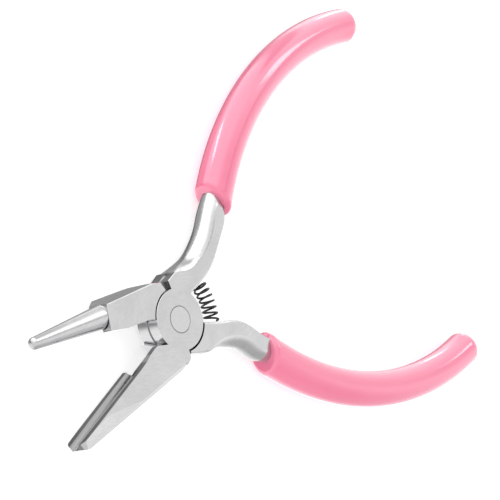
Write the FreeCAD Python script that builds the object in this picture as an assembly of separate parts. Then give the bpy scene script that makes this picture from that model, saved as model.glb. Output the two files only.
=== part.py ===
import FreeCAD, Part
import math
import os

# Wire looping pliers, small jewellery size, lying flat and fully open: a spring holds the two halves against
# the stop in the joint. The nose points to -X, the handles to +X and the joint's pivot axis is Z. The origin
# is where the pivot axis leaves the underside of the joint. All sizes are in millimetres.
#
# The two halves are forged alike, apart from their jaws and small differences in the handles. Each is
# modelled in its own frame, with its mid-plane at z = 0, its own half of the lap joint above it, its handle
# towards +X +Y and its jaw towards -X -Y, and the round half is then turned over about X. Angles are in
# degrees, anticlockwise from +X seen from above.

V = FreeCAD.Vector

# Joint
THICKNESS = 5.4
HALF = THICKNESS / 2
CONCAVE_DISC_R = 6.05
ROUND_DISC_R = 6.3
POCKET_R = 6.4
LAP_GAP = 0.04
RIVET_R = 2.0
RIVET_HEAD_R = 2.65
RIVET_HEAD_DEPTH = 0.65
RIVET_CLEARANCE = 0.04
DISC_BEVEL = 0.06

# Handles: each tang and its grip follow one arc, given by its centre and radius
CONCAVE_ARC = (V(72.5, -26.5, 0), 66.3)
ROUND_ARC = (V(73.8, -28.8, 0), 68.9)
NECK_END_R = 2.3
TANG_R = 2.1
CONCAVE_TANG_X = 23.6
ROUND_TANG_X = 22.3
TANG_END_X = 79.0
GRIP_R = 3.95
GRIP_START_X = 18.0
CONCAVE_GRIP_END_X = 83.3
ROUND_GRIP_END_X = 84.1
GRIP_TIP_FILLET = 2.9
GRIP_LIP_FILLET = 1.1

# Each grip's mouth lies in the plane of the dip: the angle of its normal, and how far it is from the pivot
DIP_ANGLE = 17.5
CONCAVE_DIP = 26.2
ROUND_DIP = 23.9

# Shank sections from the joint to the grip: inner point, outer point, width of the rounding of the outer
# side, thickness
CONCAVE_SHANK = [
    ((4.4, 2.8), (3.2, 8.85), 0.45, THICKNESS),
    ((7.2, 3.85), (5.8, 9.3), 1.5, THICKNESS),
    ((10.2, 4.65), (8.4, 9.8), 2.2, THICKNESS),
    ((12.95, 5.85), (10.4, 10.5), 2.3, THICKNESS),
    ((15.5, 7.65), (12.8, 11.8), 2.3, THICKNESS),
    ((19.2, 10.75), (16.3, 14.45), 2.1, 5.3),
    ((21.9, 13.5), (18.9, 17.1), 1.95, 5.0),
]
ROUND_SHANK = [
    ((4.4, 2.4), (3.2, 8.0), 0.45, THICKNESS),
    ((7.2, 3.35), (6.0, 8.95), 1.1, THICKNESS),
    ((10.2, 4.35), (8.6, 9.35), 1.9, THICKNESS),
    ((13.0, 5.2), (11.0, 10.1), 2.2, THICKNESS),
    ((15.7, 6.65), (13.3, 11.2), 2.3, THICKNESS),
    ((18.4, 9.4), (15.4, 13.1), 2.1, 5.3),
    ((20.8, 12.1), (17.6, 15.6), 1.95, 5.0),
]
SHANK_INNER_ROUND = 0.5
SHANK_FLAT_SIDE = 0.3

# Shoulder of each half beside the joint: a plate in its own level, and the thin ear in the other level that
# stops the opening
CONCAVE_PLATE = [(0.75, 4.5), (0.75, 7.72), (3.35, 8.55), (4.5, 2.9)]
CONCAVE_EAR = [(-0.5, 5.5), (-0.5, 7.3), (3.3, 8.8), (4.5, 2.9)]
ROUND_PLATE = [(0.75, 4.5), (0.75, 7.15), (3.3, 8.0), (4.5, 2.4)]
ROUND_EAR = [(-0.5, 5.5), (-0.5, 6.9), (3.3, 8.1), (4.5, 2.4)]
SHOULDER_BEVEL = 0.12

# Concave jaw, in a frame along its lips: X away from the pivot, Y into the jaw
LIP_ANGLE = 198.4
LIP_START = 14.5
JAW_LENGTH = 35.1
JAW_BACK_START = 6.5
JAW_BACK_HEIGHT = 7.4
JAW_TIP_HEIGHT = 1.75
JAW_CREST = [(6.0, 1.2), (8.3, -0.4), (9.1, -0.45), (10.7, -0.38), (12.4, -0.1), (LIP_START, 0)]
JAW_HEEL = [(3.9, 7.05), (3.1, 6.6), (2.29, 4.5)]
JAW_BEVEL = 0.9
JAW_TIP_FACE_R = 3.0
JAW_TIP_BACK_R = 1.6
CREST_TOP = -0.35
CREST_DEPTH = 1.3
CREST_SETBACK = 1.9
RECESS_REACH = 3.0
JAW_RECESS_START = 6.9
STOP_EAR_X = (5.0, 6.9)
STOP_EAR_TIP = -0.5
STOP_EAR_TOP = 0.9
STOP_EAR_BASE = 3.0
TAPER_CREASE = [(13.0, 6.6), (25.9, 0.68), (30.3, 0)]
TAPER_TIP_CUT = 0.6
CHANNEL_START_R = 1.75
CHANNEL_START_DEPTH = 1.15
CHANNEL_TIP_R = 1.3
CHANNEL_TIP_DEPTH = 1.05

# Round jaw: a square block, then the cone. The block's outline starts at the end of its closing edge, and the
# top comes first
BLOCK = [(-16.9, -4.53), (-15.6, -9.5), (-14.5, -10.25), (-6.2, -9.5), (-4.2, -9.05), (-1.1, -8.05),
         (-0.85, -7.3), (-0.75, -5.0), (-4.0, -1.0), (-6.6, -2.8), (-13.04, -3.494)]
BLOCK_BEVELLED_SIDES = 6
BLOCK_BEVEL = 0.2
BLOCK_TOP_EDGE = [(-15.3, -9.28), (-4.2, -8.75)]
BLOCK_TOP_DRAFT = 11.0
BLOCK_EDGE_BREAK = 0.12
BLOCK_CORNER_CUT = 1.9
BLOCK_CORNER_WAY = V(-1, 0.7, 1)
CONE_ROOT = V(-15.9, -7.2, 0)
CONE_TIP = V(-33.4, -8.9, 0)
CONE_ROOT_R = 2.4
CONE_TIP_R = 1.12
CONE_TIP_ROUND = 0.85
CONE_RIM_R = 2.58
CONE_SEAT_OFFSET = 0.35

# Return spring: a coil whose axis is an arc about the pivot
SPRING_AXIS_R = 10.9
SPRING_COIL_R = 1.4
SPRING_WIRE_R = 0.24
SPRING_TURNS = 7
SPRING_START_ANGLE = -21.0
SPRING_END_ANGLE = 22.0

SPAN = 60.0
QUARTER = 0.5523


def prism(points, low, high):
    """A plan outline raised from one height to another."""
    corners = [V(x, y, low) for x, y in points]
    wire = Part.makePolygon(corners + corners[:1])
    return Part.Face(wire).extrude(V(0, 0, high - low))


def half_space(point, normal):
    """A block that fills the side of a plane that the normal points to."""
    block = Part.makeBox(SPAN, SPAN, SPAN, V(-SPAN / 2, -SPAN / 2, 0))
    block.Placement = FreeCAD.Placement(point, FreeCAD.Rotation(V(0, 0, 1), normal))
    return block


def along(angle):
    """The placement of a frame whose X points along this angle from the pivot."""
    return FreeCAD.Placement(V(0, 0, 0), FreeCAD.Rotation(V(0, 0, 1), angle))


def both_faces(shape, point, normal):
    """The shape without what lies beyond a plane, and beyond the same plane turned to the other face."""
    shape = shape.cut(half_space(point, normal))
    return shape.cut(half_space(V(point.x, point.y, -point.z), V(normal.x, normal.y, -normal.z)))


def bevel_side(shape, start, end, width):
    """Bevels the two long edges of the upright side from start to end, with the outside on its right."""
    run = V(end[0] - start[0], end[1] - start[1], 0)
    outward = V(run.y, -run.x, 0).normalize()
    point = V(start[0], start[1], HALF) - outward * width
    return both_faces(shape, point, outward + V(0, 0, 1))


def quarter_round(centre, first, second):
    """A quarter of an ellipse from centre + first to centre + second."""
    curve = Part.BezierCurve()
    curve.setPoles([centre + first, centre + first + second * QUARTER,
                    centre + second + first * QUARTER, centre + second])
    return curve.toShape()


def shank_section(inner, outer, outer_round, thickness, inner_round):
    """A closed section whose inner side is nearly square and whose outer side is rounded."""
    across = (outer - inner).normalize()
    up = V(0, 0, thickness / 2)
    flat = V(0, 0, SHANK_FLAT_SIDE / 2)
    rise = up - flat
    edge = V(0, 0, inner_round)
    low_in = inner + across * inner_round
    low_out = outer - across * outer_round
    corners = [
        quarter_round(inner + across * inner_round - up + edge, across * -inner_round, edge * -1),
        quarter_round(outer - across * outer_round - flat, rise * -1, across * outer_round),
        quarter_round(outer - across * outer_round + flat, across * outer_round, rise),
        quarter_round(inner + across * inner_round + up - edge, edge, across * -inner_round),
    ]
    sides = [
        Part.makeLine(low_in - up, low_out - up),
        Part.makeLine(outer - flat, outer + flat),
        Part.makeLine(low_out + up, low_in + up),
        Part.makeLine(inner + up - edge, inner - up + edge),
    ]
    edges = [piece for pair in zip(corners, sides) for piece in pair]
    return Part.Wire(edges)


def arc_point(arc, x):
    """The point of a handle's arc at this x, and the direction to it from the arc's centre."""
    centre, radius = arc
    rise = math.sqrt(radius ** 2 - (x - centre.x) ** 2)
    point = V(x, centre.y + rise, 0)
    return point, (point - centre).normalize()


def arc_bar(arc, radius, start_x, end_x):
    """A round bar along a handle's arc."""
    start, outward = arc_point(arc, start_x)
    end_out = arc_point(arc, end_x)[1]
    heading = V(outward.y, -outward.x, 0)
    turn = math.degrees(outward.getAngle(end_out))
    halves = [Part.makeCircle(radius, start, heading, first, first + 180) for first in (0, 180)]
    return Part.Face(Part.Wire(halves)).revolve(arc[0], V(0, 0, -1), turn)


def shank(sections, arc, tang_x):
    """The shank from the joint to the end of its tang."""
    wires = [shank_section(V(*inner, 0), V(*outer, 0), round_width, thick, SHANK_INNER_ROUND)
             for inner, outer, round_width, thick in sections]
    tang_start, outward = arc_point(arc, tang_x)
    side = outward * NECK_END_R
    round_width = NECK_END_R - SHANK_FLAT_SIDE / 2
    wires.append(shank_section(tang_start - side, tang_start + side, round_width, 2 * NECK_END_R,
                               round_width))
    neck = Part.makeLoft(wires, True, False)
    return neck.fuse(arc_bar(arc, TANG_R, tang_x, TANG_END_X))


def handle(sections, arc, tang_x, plate, ear):
    """The handle with its shoulder beside the joint."""
    return shank(sections, arc, tang_x).fuse(shoulder(plate, ear))


def shoulder(plate, ear):
    """The neck's root: a plate in this half's own level and a longer ear in the other level."""
    own = bevel_side(prism(plate, 0, HALF), plate[2], plate[1], SHOULDER_BEVEL)
    other = bevel_side(prism(ear, -HALF, 0), ear[2], ear[1], SHOULDER_BEVEL)
    return own.fuse(other)


def channel():
    """The tapered groove along the lips, as the cone that cuts it."""
    start = V(LIP_START, CHANNEL_START_DEPTH - CHANNEL_START_R, 0)
    end = V(JAW_LENGTH + 1, CHANNEL_TIP_DEPTH - CHANNEL_TIP_R, 0)
    run = end - start
    return Part.makeCone(CHANNEL_START_R, CHANNEL_TIP_R, run.Length, start, run)


def bar_along_x(section, start_x, end_x):
    """A bar along X from its section in Y and Z."""
    corners = [V(start_x, y, z) for y, z in section]
    return Part.Face(Part.makePolygon(corners + corners[:1])).extrude(V(end_x - start_x, 0, 0))


def recess():
    """What is cut from the jaw's inner face beside the joint, so that it slopes away in the other level."""
    level = HALF - CREST_DEPTH
    clear = CREST_TOP - RECESS_REACH
    section = [(clear, level), (CREST_TOP, level), (CREST_SETBACK, -HALF), (clear, -HALF)]
    return bar_along_x(section, JAW_RECESS_START, LIP_START)


def stop_ear():
    """The end of the concave jaw's pocket, which slopes up to a point in the other level."""
    top = HALF - CREST_DEPTH
    section = [(STOP_EAR_TIP, -HALF), (STOP_EAR_TOP, top), (STOP_EAR_BASE, top), (STOP_EAR_BASE, -HALF)]
    return bar_along_x(section, *STOP_EAR_X)


def jaw_taper(shape):
    """Thins the jaw towards its tip, beyond a crease that bends on its way from the back to the lip."""
    tip = V(JAW_LENGTH, JAW_TIP_HEIGHT, HALF)
    wedges = []
    for start, end in zip(TAPER_CREASE[:-1], TAPER_CREASE[1:]):
        outward = V(start[1] - end[1], end[0] - start[0], 0).normalize()
        point = V(*start, HALF)
        slope = TAPER_TIP_CUT / outward.dot(tip - point)
        wedges.append(half_space(point, V(0, 0, 1) + outward * slope))
    wedge = wedges[0].common(wedges[1])
    return shape.cut([wedge, wedge.mirror(V(0, 0, 0), V(0, 0, 1))])


def tip_rounding():
    """What is ground off the concave jaw's tip: its two faces and then its back."""
    block = Part.makeBox(SPAN, SPAN, SPAN, V(JAW_LENGTH - JAW_TIP_FACE_R, -SPAN / 2, -SPAN / 2))
    faces = Part.makeCylinder(JAW_TIP_FACE_R, SPAN, V(JAW_LENGTH - JAW_TIP_FACE_R, -SPAN / 2, 0), V(0, 1, 0))
    corner = V(JAW_LENGTH - JAW_TIP_BACK_R, JAW_TIP_HEIGHT - JAW_TIP_BACK_R, -HALF)
    back = Part.makeBox(THICKNESS, THICKNESS, THICKNESS, corner)
    round_back = Part.makeCylinder(JAW_TIP_BACK_R, THICKNESS, corner)
    return block.cut(faces).fuse(back.cut(round_back))


def concave_jaw():
    """The jaw with the channel."""
    tip = (JAW_LENGTH, JAW_TIP_HEIGHT)
    heel = (JAW_BACK_START, JAW_BACK_HEIGHT)
    jaw = prism(JAW_CREST + [(JAW_LENGTH, 0), tip, heel] + JAW_HEEL, -HALF, HALF)
    jaw = bevel_side(jaw, tip, heel, JAW_BEVEL)
    jaw = jaw_taper(jaw)
    jaw = jaw.cut(channel())
    jaw = jaw.cut(recess())
    jaw = jaw.fuse(stop_ear())
    jaw = jaw.cut(tip_rounding())
    jaw.Placement = along(LIP_ANGLE)
    return jaw


def cone():
    """The round jaw itself."""
    run = CONE_TIP - CONE_ROOT
    body = Part.makeCone(CONE_ROOT_R, CONE_TIP_R, run.Length, CONE_ROOT, run)
    rims = [edge for edge in body.Edges if edge.Closed]
    return body.makeFillet(CONE_TIP_ROUND, [min(rims, key=lambda edge: edge.Length)])


def drafted_top(block):
    """The block with its top side leaning back from its edge with the outer face, and that edge broken."""
    start, end = (V(*point, -HALF) for point in BLOCK_TOP_EDGE)
    run = end - start
    outward = V(run.y, -run.x, 0).normalize()
    lean = math.radians(BLOCK_TOP_DRAFT)
    block = block.cut(half_space(start, outward * math.cos(lean) - V(0, 0, math.sin(lean))))
    return block.cut(half_space(start - outward * BLOCK_EDGE_BREAK, outward - V(0, 0, 1)))


def round_jaw():
    """The block and the cone."""
    block = prism(BLOCK, -HALF, HALF)
    for start, end in list(zip(BLOCK[:-1], BLOCK[1:]))[:BLOCK_BEVELLED_SIDES]:
        block = bevel_side(block, start, end, BLOCK_BEVEL)
    block = drafted_top(block)
    away = V(BLOCK_CORNER_WAY).normalize()
    block = block.cut(half_space(V(*BLOCK[0], HALF) - away * BLOCK_CORNER_CUT, away))
    run = CONE_TIP - CONE_ROOT
    seat = Part.makeCylinder(CONE_RIM_R, run.Length, CONE_ROOT + run.normalize() * CONE_SEAT_OFFSET, run)
    return block.cut(seat).fuse(cone())


def cylinder(radius, low, high):
    """A cylinder on the pivot axis."""
    return Part.makeCylinder(radius, high - low, V(0, 0, low))


def disc(radius):
    """One half's disc of the lap joint, with its outer rim broken."""
    plain = cylinder(radius, LAP_GAP / 2, HALF)
    rims = [edge for edge in plain.Edges if edge.Closed]
    return plain.makeChamfer(DISC_BEVEL, [max(rims, key=lambda edge: edge.CenterOfMass.z)])


def rivet_shape(clearance):
    """The rivet on the pivot axis, or the hole for it, between the two faces of the joint."""
    shaft = cylinder(RIVET_R + clearance, -HALF, HALF)
    head_r = RIVET_HEAD_R + clearance
    shaft_r = RIVET_R + clearance
    top = Part.makeCone(shaft_r, head_r, RIVET_HEAD_DEPTH, V(0, 0, HALF - RIVET_HEAD_DEPTH))
    foot = Part.makeCone(head_r, shaft_r, RIVET_HEAD_DEPTH, V(0, 0, -HALF))
    return shaft.fuse([top, foot]).removeSplitter()


def forging(jaw, handle_shape, disc_radius, clearance):
    """One half of the pliers, in its own frame."""
    body = handle_shape.fuse(jaw)
    body = body.cut(cylinder(POCKET_R, -THICKNESS, LAP_GAP / 2))
    body = body.fuse(disc(disc_radius)).removeSplitter()
    return body.cut(rivet_shape(clearance))


def grip(half, arc, end_x, dip):
    """The dipped sleeve over one half's tang, in that half's frame."""
    bar = arc_bar(arc, GRIP_R, GRIP_START_X, end_x)
    tip = max(bar.Faces, key=lambda face: face.CenterOfMass.x)
    bar = bar.makeFillet(GRIP_TIP_FILLET, tip.Edges)
    normal = along(DIP_ANGLE).Rotation.multVec(V(1, 0, 0))
    bar = bar.cut(half_space(normal * dip, normal * -1))
    mouth = min(bar.Faces, key=lambda face: normal.dot(face.CenterOfMass))
    bar = bar.makeFillet(GRIP_LIP_FILLET, mouth.Edges)
    return bar.cut(half)


def spring():
    """The return spring: half turns of wire whose ends all meet at the mid-plane, upright."""
    count = 2 * SPRING_TURNS
    step = math.radians(SPRING_END_ANGLE - SPRING_START_ANGLE) / count
    meets = []
    for number in range(count + 1):
        angle = math.radians(SPRING_START_ANGLE) + number * step
        radius = SPRING_AXIS_R + SPRING_COIL_R * (-1) ** number
        meets.append(V(radius * math.cos(angle), radius * math.sin(angle), 0))
    turns = []
    for number, (start, end) in enumerate(zip(meets[:-1], meets[1:])):
        side = (-1) ** number
        centre = (start + end) / 2
        hub = (end - start).cross(V(0, 0, 1)).normalize() * -side
        wire = Part.Face(Part.Wire(Part.makeCircle(SPRING_WIRE_R, start, V(0, 0, side))))
        turns.append(wire.revolve(centre, hub, 180))
    return turns[0].fuse(turns[1:]).removeSplitter()


def turned_over(shape):
    """The shape turned over about X, as the other half of the pair lies."""
    copy = shape.copy()
    copy.rotate(V(0, 0, 0), V(1, 0, 0), 180)
    return copy


def save(name, shape):
    """Lifts a piece from the mid-plane frame to the underside of the joint and writes it."""
    placed = shape.copy()
    placed.translate(V(0, 0, HALF))
    if not placed.isValid():
        raise ValueError(name + " is not a valid solid")
    print(name, len(placed.Solids), round(placed.Volume, 1))
    placed.exportStep(os.path.join("parts", name + ".step"))


def main():
    os.makedirs("parts", exist_ok=True)
    concave_handle = handle(CONCAVE_SHANK, CONCAVE_ARC, CONCAVE_TANG_X, CONCAVE_PLATE, CONCAVE_EAR)
    round_handle = handle(ROUND_SHANK, ROUND_ARC, ROUND_TANG_X, ROUND_PLATE, ROUND_EAR)
    concave_half = forging(concave_jaw(), concave_handle, CONCAVE_DISC_R, RIVET_CLEARANCE)
    round_half = forging(round_jaw(), round_handle, ROUND_DISC_R, 0)
    save("concave_jaw_half", concave_half)
    save("round_jaw_half", turned_over(round_half))
    save("pivot_rivet", rivet_shape(0))
    save("return_spring", spring())
    save("upper_grip", grip(concave_half, CONCAVE_ARC, CONCAVE_GRIP_END_X, CONCAVE_DIP))
    save("lower_grip", turned_over(grip(round_half, ROUND_ARC, ROUND_GRIP_END_X, ROUND_DIP)))


main()
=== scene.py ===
import math

import bpy
from mathutils import Matrix, Vector

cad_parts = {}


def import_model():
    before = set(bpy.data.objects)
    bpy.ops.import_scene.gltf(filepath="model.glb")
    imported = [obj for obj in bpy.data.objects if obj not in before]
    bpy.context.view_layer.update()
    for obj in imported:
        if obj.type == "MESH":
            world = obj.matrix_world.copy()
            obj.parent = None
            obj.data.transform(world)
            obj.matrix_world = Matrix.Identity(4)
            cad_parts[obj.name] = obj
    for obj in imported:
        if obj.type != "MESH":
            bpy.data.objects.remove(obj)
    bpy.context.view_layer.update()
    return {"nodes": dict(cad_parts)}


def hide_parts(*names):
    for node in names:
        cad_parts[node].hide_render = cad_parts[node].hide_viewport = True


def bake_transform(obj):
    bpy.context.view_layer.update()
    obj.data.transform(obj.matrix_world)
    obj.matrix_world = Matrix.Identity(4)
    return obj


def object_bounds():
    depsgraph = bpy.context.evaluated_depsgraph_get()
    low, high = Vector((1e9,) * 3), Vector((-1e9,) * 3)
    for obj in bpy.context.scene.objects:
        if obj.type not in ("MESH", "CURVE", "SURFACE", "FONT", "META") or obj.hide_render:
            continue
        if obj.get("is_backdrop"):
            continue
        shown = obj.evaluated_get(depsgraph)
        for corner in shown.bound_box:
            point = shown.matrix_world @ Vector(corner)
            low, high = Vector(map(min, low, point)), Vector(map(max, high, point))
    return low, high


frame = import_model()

MM = 0.001
HALF = 2.7 * MM  # height of the joint's mid-plane


# ---------------------------------------------------------------- material helpers

class Nodes:
    """A node tree, with short ways to add and join nodes."""

    def __init__(self, owner):
        owner.use_nodes = True
        self.owner = owner
        self.tree = owner.node_tree
        self.surface = self.tree.nodes.get("Principled BSDF")

    def add(self, kind, **settings):
        node = self.tree.nodes.new("ShaderNode" + kind)
        for key, value in settings.items():
            setattr(node, key, value)
        return node

    def join(self, source, target):
        self.tree.links.new(source, target)

    def put(self, value, target):
        if isinstance(value, bpy.types.NodeSocket):
            self.join(value, target)
        else:
            target.default_value = value

    def finish(self, **values):
        """Sets the surface's inputs, with an underscore in the name for a space."""
        for key, value in values.items():
            self.put(value, self.surface.inputs[key.replace("_", " ")])

    def place(self, scale, turn=(0, 0, 0)):
        """Object coordinates, turned and then scaled, so that a pattern can run along the part."""
        coordinates = self.add("TexCoord")
        turned = self.add("Mapping", vector_type="POINT")
        turned.inputs["Rotation"].default_value = turn
        self.join(coordinates.outputs["Object"], turned.inputs["Vector"])
        scaled = self.add("Mapping", vector_type="POINT")
        scaled.inputs["Scale"].default_value = scale
        self.join(turned.outputs["Vector"], scaled.inputs["Vector"])
        return scaled.outputs["Vector"]

    def noise(self, vector, detail=2.0, roughness=0.5):
        """Noise of one cycle per unit of the vector, which place() has scaled."""
        node = self.add("TexNoise")
        self.join(vector, node.inputs["Vector"])
        node.inputs["Scale"].default_value = 1.0
        node.inputs["Detail"].default_value = detail
        node.inputs["Roughness"].default_value = roughness
        return node.outputs["Fac"]

    def math(self, operation, a, b=0.0):
        node = self.add("Math", operation=operation)
        self.put(a, node.inputs[0])
        self.put(b, node.inputs[1])
        return node.outputs[0]

    def total(self, first, *others):
        for other in others:
            first = self.math("ADD", first, other)
        return first

    def product(self, first, *others):
        for other in others:
            first = self.math("MULTIPLY", first, other)
        return first

    def away(self, value, middle):
        """The distance of a value from the middle."""
        return self.math("ABSOLUTE", self.math("SUBTRACT", value, middle))

    def dot(self, vector, way):
        node = self.add("VectorMath", operation="DOT_PRODUCT")
        self.join(vector, node.inputs[0])
        node.inputs[1].default_value = way
        return node.outputs["Value"]

    def span(self, value, low, high, to_low=0.0, to_high=1.0):
        """value's stretch from low to high, spread over to_low to to_high, with smooth ends."""
        node = self.add("MapRange", interpolation_type="SMOOTHSTEP")
        self.put(value, node.inputs["Value"])
        for key, number in zip(("From Min", "From Max", "To Min", "To Max"), (low, high, to_low, to_high)):
            node.inputs[key].default_value = number
        return node.outputs["Result"]

    def mix(self, factor, a, b):
        node = self.add("Mix", data_type="RGBA")
        self.put(factor, node.inputs[0])
        self.put(a, node.inputs[6])
        self.put(b, node.inputs[7])
        return node.outputs[2]

    def painted_crevice_shade(self, reach):
        """Painted shade mask from ambient occlusion: 0 in the open, towards 1 in a gap or an inner corner."""
        node = self.add("AmbientOcclusion", samples=8)
        node.inputs["Distance"].default_value = reach
        return self.span(node.outputs["AO"], *PAINTED_SHADE_AO_BAND, 1.0, 0.0)

    def bump(self, height, strength, distance):
        node = self.add("Bump")
        node.inputs["Strength"].default_value = strength
        node.inputs["Distance"].default_value = distance
        self.join(height, node.inputs["Height"])
        self.join(node.outputs["Normal"], self.surface.inputs["Normal"])


def grey(value):
    """A neutral linear colour, with a trace of blue."""
    return (value, value, value * 1.01, 1.0)


# ---------------------------------------------------------------- materials

# A noise's values lie mostly in its band. Pattern scales are in cycles per metre.
# The ambient-occlusion band over which painted shade comes in, in gaps and inner corners.
PAINTED_SHADE_AO_BAND = 0.08, 0.6
NOISE_BAND = 0.3, 0.7

STEEL_DARKER, STEEL_LIGHTER = grey(0.54), grey(0.59)
GRIND_TONE = grey(0.46)
# Painted shade: the near-black the steel turns in gaps and inner corners, and how far the occlusion reaches.
STEEL_PAINTED_SHADE_TONE = grey(0.02)
STEEL_PAINTED_SHADE_REACH = 0.9 * MM
GRIND_ANGLE = math.radians(20)
LINE_SCALE = 900, 14000, 900
STREAK_SCALE = 420, 2600, 420
BLOTCH_SCALE = 180, 180, 180
STEEL_ROUGHNESS = 0.14, 0.2
BLOTCH_ROUGHNESS = 0.0, 0.06

LIP_ANGLE = math.radians(198.4)
LIP_START = 14.5 * MM
CHANNEL_HALF_WIDTH = 1.75 * MM
CHANNEL_DEPTH = 1.3 * MM
CHANNEL_EDGE = 0.1 * MM
# Painted shade and painted dark reflection for the channel's steel.
CHANNEL_PAINTED_SHADE_TONE = grey(0.25)
CHANNEL_ROUGHER = 0.1

RIVET_RING_SCALE = 9000.0
RIVET_ROUGHNESS = 0.2, 0.32
# Painted shade: the ring round the rivet head's edge, where it meets the joint, and its dark grey.
RIVET_RIM = 2.4 * MM, 2.55 * MM
RIVET_EDGE_PAINTED_SHADE = grey(0.25)

WIRE_BLACK, WIRE_RUBBED = grey(0.012), grey(0.09)
WIRE_RUB_SCALE = 700, 700, 700
WIRE_METALLIC = 0.2, 0.8
WIRE_ROUGHNESS = 0.22, 0.4

PINK_DEEP, PINK_LIGHT = (0.86, 0.145, 0.285, 1), (0.89, 0.17, 0.31, 1)
# Painted shade: the dark pink the vinyl turns where it meets the steel, and how far the occlusion reaches.
PINK_PAINTED_SHADE = 0.25, 0.03, 0.06, 1
VINYL_PAINTED_SHADE_REACH = 0.5 * MM
VINYL_WAVE_SCALE = 260, 260, 260
VINYL_CLOUD_SCALE = 55, 55, 55
VINYL_SPECK_SCALE = 2600, 2600, 2600
VINYL_SPECK_HEIGHT = 0.04
VINYL_ROUGHNESS = 0.2, 0.27


def in_channel(n):
    """1 on the concave jaw's channel, which is lapped to a rougher finish and given a darker base colour as
    painted shade and painted dark reflection.
    """
    ways = n.add("SeparateXYZ")
    n.join(n.place((1, 1, 1), (0, 0, -LIP_ANGLE)), ways.inputs[0])
    along, into, height = ways.outputs
    return n.product(n.span(n.away(height, HALF), CHANNEL_HALF_WIDTH, CHANNEL_HALF_WIDTH - CHANNEL_EDGE),
                     n.span(into, CHANNEL_DEPTH, CHANNEL_DEPTH - CHANNEL_EDGE),
                     n.span(along, LIP_START - CHANNEL_EDGE, LIP_START))


def ground_steel(name, grind_turn, channel=False):
    """Satin ground steel: fine grind lines and streaks over a slightly uneven polish, with painted shade that
    darkens it to near black in the gaps and inner corners.
    """
    n = Nodes(bpy.data.materials.new(name))
    lines = n.noise(n.place(LINE_SCALE, (0, 0, grind_turn)), detail=3.0, roughness=0.6)
    blotches = n.noise(n.place(BLOTCH_SCALE), detail=3.0)
    streaks = n.noise(n.place(STREAK_SCALE, (0, 0, grind_turn)), detail=4.0, roughness=0.65)
    tone = n.mix(n.span(blotches, *NOISE_BAND), STEEL_DARKER, STEEL_LIGHTER)
    tone = n.mix(n.span(streaks, 0.45, 0.75, 0.0, 0.3), tone, GRIND_TONE)
    tone = n.mix(n.span(lines, 0.35, 0.7, 0.0, 0.35), tone, GRIND_TONE)
    rough = n.total(n.span(lines, *NOISE_BAND, *STEEL_ROUGHNESS),
                    n.span(blotches, *NOISE_BAND, *BLOTCH_ROUGHNESS))
    if channel:
        groove = in_channel(n)
        # The darker base colour is painted shade and painted dark reflection; the added roughness is the
        # duller lapped finish.
        tone = n.mix(groove, tone, CHANNEL_PAINTED_SHADE_TONE)
        rough = n.total(rough, n.product(groove, CHANNEL_ROUGHER))
    # Painted shade: the steel darkens to near black in gaps and inner corners.
    tone = n.mix(n.painted_crevice_shade(STEEL_PAINTED_SHADE_REACH), tone, STEEL_PAINTED_SHADE_TONE)
    n.finish(Base_Color=tone, Metallic=1.0, Roughness=rough)
    n.bump(lines, 0.12, 0.02 * MM)
    return n.owner


def rivet_steel():
    """Turned rivet head: rings round the pivot axis, and a ring of painted shade round the head where it
    meets the joint.
    """
    n = Nodes(bpy.data.materials.new("rivet_turned"))
    flat = n.add("VectorMath", operation="MULTIPLY")
    flat.inputs[1].default_value = (1, 1, 0)
    n.join(n.add("TexCoord").outputs["Object"], flat.inputs[0])
    length = n.add("VectorMath", operation="LENGTH")
    n.join(flat.outputs[0], length.inputs[0])
    radius = length.outputs["Value"]
    noise = n.add("TexNoise", noise_dimensions="1D")
    n.put(n.product(radius, RIVET_RING_SCALE), noise.inputs["W"])
    rings = noise.outputs["Fac"]
    tone = n.mix(n.span(rings, *NOISE_BAND), STEEL_DARKER, STEEL_LIGHTER)
    # Painted shade: a dark ring round the head's edge where it meets the joint.
    tone = n.mix(n.span(radius, *RIVET_RIM), tone, RIVET_EDGE_PAINTED_SHADE)
    n.finish(Base_Color=tone, Metallic=1.0, Roughness=n.span(rings, *NOISE_BAND, *RIVET_ROUGHNESS))
    n.bump(rings, 0.1, 0.02 * MM)
    return n.owner


def spring_steel():
    """Blackened spring wire, rubbed a little brighter in places."""
    n = Nodes(bpy.data.materials.new("spring_blackened"))
    rub = n.noise(n.place(WIRE_RUB_SCALE), detail=4.0, roughness=0.6)
    n.finish(Base_Color=n.mix(n.span(rub, 0.5, 0.8), WIRE_BLACK, WIRE_RUBBED),
             Metallic=n.span(rub, 0.45, 0.8, *WIRE_METALLIC),
             Roughness=n.span(rub, 0.3, 0.8, *WIRE_ROUGHNESS))
    n.bump(rub, 0.1, 0.03 * MM)
    return n.owner


def dipped_vinyl(name):
    """Glossy dipped PVC: even pink, a faint waviness of the skin, and painted shade darkening it where it
    meets the steel and in inner corners.
    """
    n = Nodes(bpy.data.materials.new(name))
    waves = n.noise(n.place(VINYL_WAVE_SCALE), detail=2.0)
    clouds = n.noise(n.place(VINYL_CLOUD_SCALE), detail=3.0)
    specks = n.noise(n.place(VINYL_SPECK_SCALE), detail=2.0)
    tone = n.mix(n.span(clouds, *NOISE_BAND), PINK_DEEP, PINK_LIGHT)
    # Painted shade: the pink darkens where the vinyl meets the steel and in inner corners.
    tone = n.mix(n.painted_crevice_shade(VINYL_PAINTED_SHADE_REACH), tone, PINK_PAINTED_SHADE)
    n.finish(Base_Color=tone, Roughness=n.span(specks, *NOISE_BAND, *VINYL_ROUGHNESS), IOR=1.7,
             Coat_Weight=1.0, Coat_IOR=1.65, Coat_Roughness=0.07,
             Subsurface_Weight=0.12, Subsurface_Scale=1.0 * MM, Subsurface_Radius=(1.0, 0.35, 0.4))
    n.bump(n.total(waves, n.product(specks, VINYL_SPECK_HEIGHT)), 0.12, 0.08 * MM)
    return n.owner


# ---------------------------------------------------------------- return spring

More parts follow.
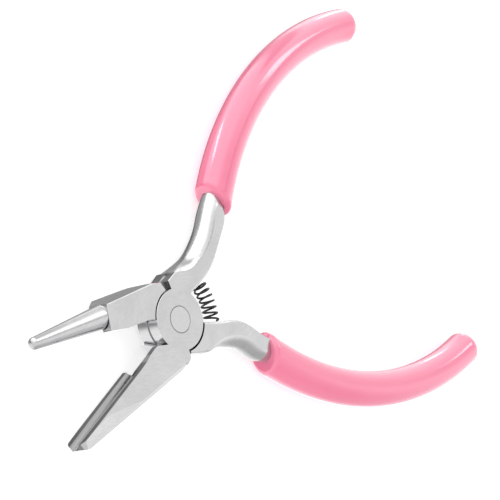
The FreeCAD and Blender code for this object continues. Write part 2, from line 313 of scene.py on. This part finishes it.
COIL_ARC_R = 10.9 * MM
COIL_R = 1.4 * MM
WIRE_R = 0.21 * MM
COIL_TURNS = 7
COIL_FROM, COIL_TO = math.radians(-21), math.radians(22)
STEPS_PER_TURN = 36
WIRE_SIDES = 12


def coil_point(angle, turn):
    """The point of the wire's centreline at an angle round the pivot and a turn of the coil."""
    outward = Vector((math.cos(angle), math.sin(angle), 0))
    centre = outward * COIL_ARC_R + Vector((0, 0, HALF))
    return centre + COIL_R * (math.cos(turn) * outward + math.sin(turn) * Vector((0, 0, 1)))


def coil_path():
    """The wire's centreline: a helix of even pitch along an arc round the pivot."""
    points = []
    steps = COIL_TURNS * STEPS_PER_TURN
    for i in range(steps + 1):
        share = i / steps
        points.append(coil_point(COIL_FROM + (COIL_TO - COIL_FROM) * share, 2 * math.pi * COIL_TURNS * share))
    return points


def tube(name, path, radius, sides):
    """A round wire along a path, as a closed mesh."""
    vertices, faces = [], []
    count = len(path)
    side = None
    for i, point in enumerate(path):
        ahead = (path[min(i + 1, count - 1)] - path[max(i - 1, 0)]).normalized()
        if side is None:
            side = ahead.orthogonal().normalized()
        side = (side - ahead * side.dot(ahead)).normalized()
        other = ahead.cross(side)
        for j in range(sides):
            turn = 2 * math.pi * j / sides
            vertices.append(point + radius * (math.cos(turn) * side + math.sin(turn) * other))
    for i in range(count - 1):
        for j in range(sides):
            k = (j + 1) % sides
            faces.append((i * sides + j, i * sides + k, (i + 1) * sides + k, (i + 1) * sides + j))
    faces.append(tuple(reversed(range(sides))))
    faces.append(tuple((count - 1) * sides + j for j in range(sides)))
    mesh = bpy.data.meshes.new(name)
    mesh.from_pydata(vertices, [], faces)
    mesh.update()
    for polygon in mesh.polygons:
        polygon.use_smooth = len(polygon.vertices) == 4
    made = bpy.data.objects.new(name, mesh)
    bpy.context.scene.collection.objects.link(made)
    return made


# ---------------------------------------------------------------- the object

def finish_node(name, material):
    frame["nodes"][name].material_slots[0].material = material


finish_node("concave_jaw_half", ground_steel("concave_half_ground", GRIND_ANGLE, channel=True))
finish_node("round_jaw_half", ground_steel("round_half_ground", -GRIND_ANGLE))
finish_node("pivot_rivet", rivet_steel())
finish_node("upper_grip", dipped_vinyl("upper_grip_vinyl"))
finish_node("lower_grip", dipped_vinyl("lower_grip_vinyl"))

coil = tube("spring_coil", coil_path(), WIRE_R, WIRE_SIDES)
coil.data.materials.append(spring_steel())
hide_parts("return_spring")
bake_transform(coil)


# ---------------------------------------------------------------- floor, light and camera

FLOOR_REACH = 3.0
FLOOR_TONES = grey(0.86), grey(0.9)
FLOOR_HAZE_SCALE = 6, 6, 6
FLOOR_ROUGHNESS = 0.5
FLOOR_GLOW = 0.45

# Levels of light. MID is the mirrored surroundings' own level, and EVEN is what lights the matt surfaces.
EVEN = 1.05
MID = 1.15
PANEL = 2.1
PANEL_PAST_END = 0.2
DIM = 0.7
LOW_GLOW = 0.3
SIDE_GLOW = 0.35

# Shares of light left behind the three dark screens.
FOOT = 0.3
FLAG = 0.4
GAP = 0.45

# Where each one begins and is whole, as a component of the mirrored direction.
PANEL_Y, PANEL_Z, PANEL_X = (0.0, 0.8), (0.95, 0.7), (-0.75, -0.4)
DIM_Y = -0.95, -0.4
LOW_GLOW_Z, LOW_GLOW_Y = (-0.35, -0.65), (0.1, -0.1)
SIDE_GLOW_X, SIDE_GLOW_Y = (0.4, 0.8), (-0.14, -0.4)
FOOT_Z, FOOT_Y = (-0.3, -0.6), (-0.05, 0.25)
FLAG_ACROSS, FLAG_EDGE = (-0.819, 0.574, 0.0), (0.2, 0.06)
FLAG_X, FLAG_Z = (0.1, 0.3), (0.65, 0.35)
GAP_MIDDLE_Y, GAP_EDGE = 0.03, (0.09, 0.02)
GAP_Z, GAP_X = (0.6, 0.75), (-0.35, -0.1)

# Each window's centre direction, long way, half sizes and added level.
WINDOWS = (((0.68, 0.27, 0.7), (0.2, -0.42, -0.05), (0.26, 0.075), 4.0),
           ((-0.13, 0.98, -0.1), (0.7, -0.1, -0.72), (0.22, 0.07), 5.0),
           ((0.8, 0.55, -0.15), (-0.1, 0.2, 0.2), (0.16, 0.05), 3.5))
WINDOW_CORE = 0.5

CAMERA_RIGHT = Vector((0.6108, -0.3556, 0.7074))
CAMERA_UP = Vector((0.3383, 0.9250, 0.1729))
CAMERA_PLACE = Vector((-0.21225, 0.04951, 0.2323))
CAMERA_LENS = 118.67
CAMERA_SENSOR = 36.0


def floor():
    """A plain white floor just under the pliers. It glows a little, and the steel doesn't mirror it."""
    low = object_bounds()[0].z
    corners = [(-1, -1), (1, -1), (1, 1), (-1, 1)]
    mesh = bpy.data.meshes.new("floor")
    mesh.from_pydata([(x * FLOOR_REACH, y * FLOOR_REACH, low) for x, y in corners], [], [(0, 1, 2, 3)])
    made = bpy.data.objects.new("floor", mesh)
    bpy.context.scene.collection.objects.link(made)
    n = Nodes(bpy.data.materials.new("floor_white"))
    haze = n.noise(n.place(FLOOR_HAZE_SCALE), detail=2.0)
    n.finish(Base_Color=n.mix(haze, *FLOOR_TONES), Roughness=FLOOR_ROUGHNESS,
             Emission_Color=(1, 1, 1, 1), Emission_Strength=FLOOR_GLOW)
    mesh.materials.append(n.owner)
    made.visible_glossy = False
    made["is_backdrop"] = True


def window(n, toward, centre, along, half_size):
    """1 inside a soft-edged oblong of the surroundings round a centre direction."""
    facing = Vector(centre).normalized()
    long_way = (Vector(along) - facing * facing.dot(Vector(along))).normalized()
    inside = n.math("GREATER_THAN", n.dot(toward, facing), 0.0)
    for way, half in zip((long_way, facing.cross(long_way)), half_size):
        offset = n.math("ABSOLUTE", n.dot(toward, way))
        inside = n.product(inside, n.span(offset, half, half * WINDOW_CORE))
    return inside


def screened(n, level, mask, share):
    """The level, down to a share of it where the mask is 1."""
    return n.product(level, n.span(mask, 0.0, 1.0, 1.0, share))


def mirrored_studio(n):
    """What the glossy surfaces mirror: a broad bright panel at +Y with a dark flag beside it, a dim side at
    -Y, a dark foot below the panel, a dark gap overhead and three bright windows."""
    toward = n.add("TexCoord").outputs["Generated"]
    ways = n.add("SeparateXYZ")
    n.join(toward, ways.inputs[0])
    x, y, z = ways.outputs
    panel = n.product(n.span(y, *PANEL_Y, 0.0, PANEL - MID), n.span(z, *PANEL_Z),
                      n.span(x, *PANEL_X, PANEL_PAST_END, 1.0))
    level = n.total(panel, n.span(y, *DIM_Y, DIM, MID),
                    n.product(n.span(z, *LOW_GLOW_Z), n.span(y, *LOW_GLOW_Y, 0.0, LOW_GLOW)),
                    n.product(n.span(x, *SIDE_GLOW_X), n.span(y, *SIDE_GLOW_Y, 0.0, SIDE_GLOW)))
    foot = n.product(n.span(z, *FOOT_Z), n.span(y, *FOOT_Y))
    across = n.math("ABSOLUTE", n.dot(toward, FLAG_ACROSS))
    flag = n.product(n.span(across, *FLAG_EDGE), n.span(x, *FLAG_X), n.span(z, *FLAG_Z))
    gap = n.product(n.span(n.away(y, GAP_MIDDLE_Y), *GAP_EDGE), n.span(z, *GAP_Z), n.span(x, *GAP_X))
    for mask, share in ((foot, FOOT), (flag, FLAG), (gap, GAP)):
        level = screened(n, level, mask, share)
    for centre, along, half_size, added in WINDOWS:
        level = n.total(level, n.product(window(n, toward, centre, along, half_size), added))
    return level


def world():
    """Even white light for the matt surfaces, and a studio for the glossy ones to mirror."""
    made = bpy.data.worlds.new("studio")
    bpy.context.scene.world = made
    n = Nodes(made)
    choose = n.add("Mix", data_type="FLOAT")
    n.put(n.add("LightPath").outputs["Is Glossy Ray"], choose.inputs[0])
    n.put(EVEN, choose.inputs[2])
    n.put(mirrored_studio(n), choose.inputs[3])
    background = n.tree.nodes["Background"]
    n.put(choose.outputs[0], background.inputs["Strength"])
    background.inputs["Color"].default_value = (1, 1, 1, 1)


def camera():
    back = CAMERA_RIGHT.cross(CAMERA_UP).normalized()
    right = CAMERA_UP.cross(back).normalized()
    up = back.cross(right)
    data = bpy.data.cameras.new("camera")
    data.lens = CAMERA_LENS
    data.sensor_width = CAMERA_SENSOR
    data.clip_start, data.clip_end = 0.01, 20.0
    made = bpy.data.objects.new("camera", data)
    made.matrix_world = Matrix((right, up, back)).transposed().to_4x4()
    made.location = CAMERA_PLACE
    bpy.context.scene.collection.objects.link(made)
    bpy.context.scene.camera = made


floor()
world()
camera()
bpy.context.scene.view_settings.view_transform = "Standard"
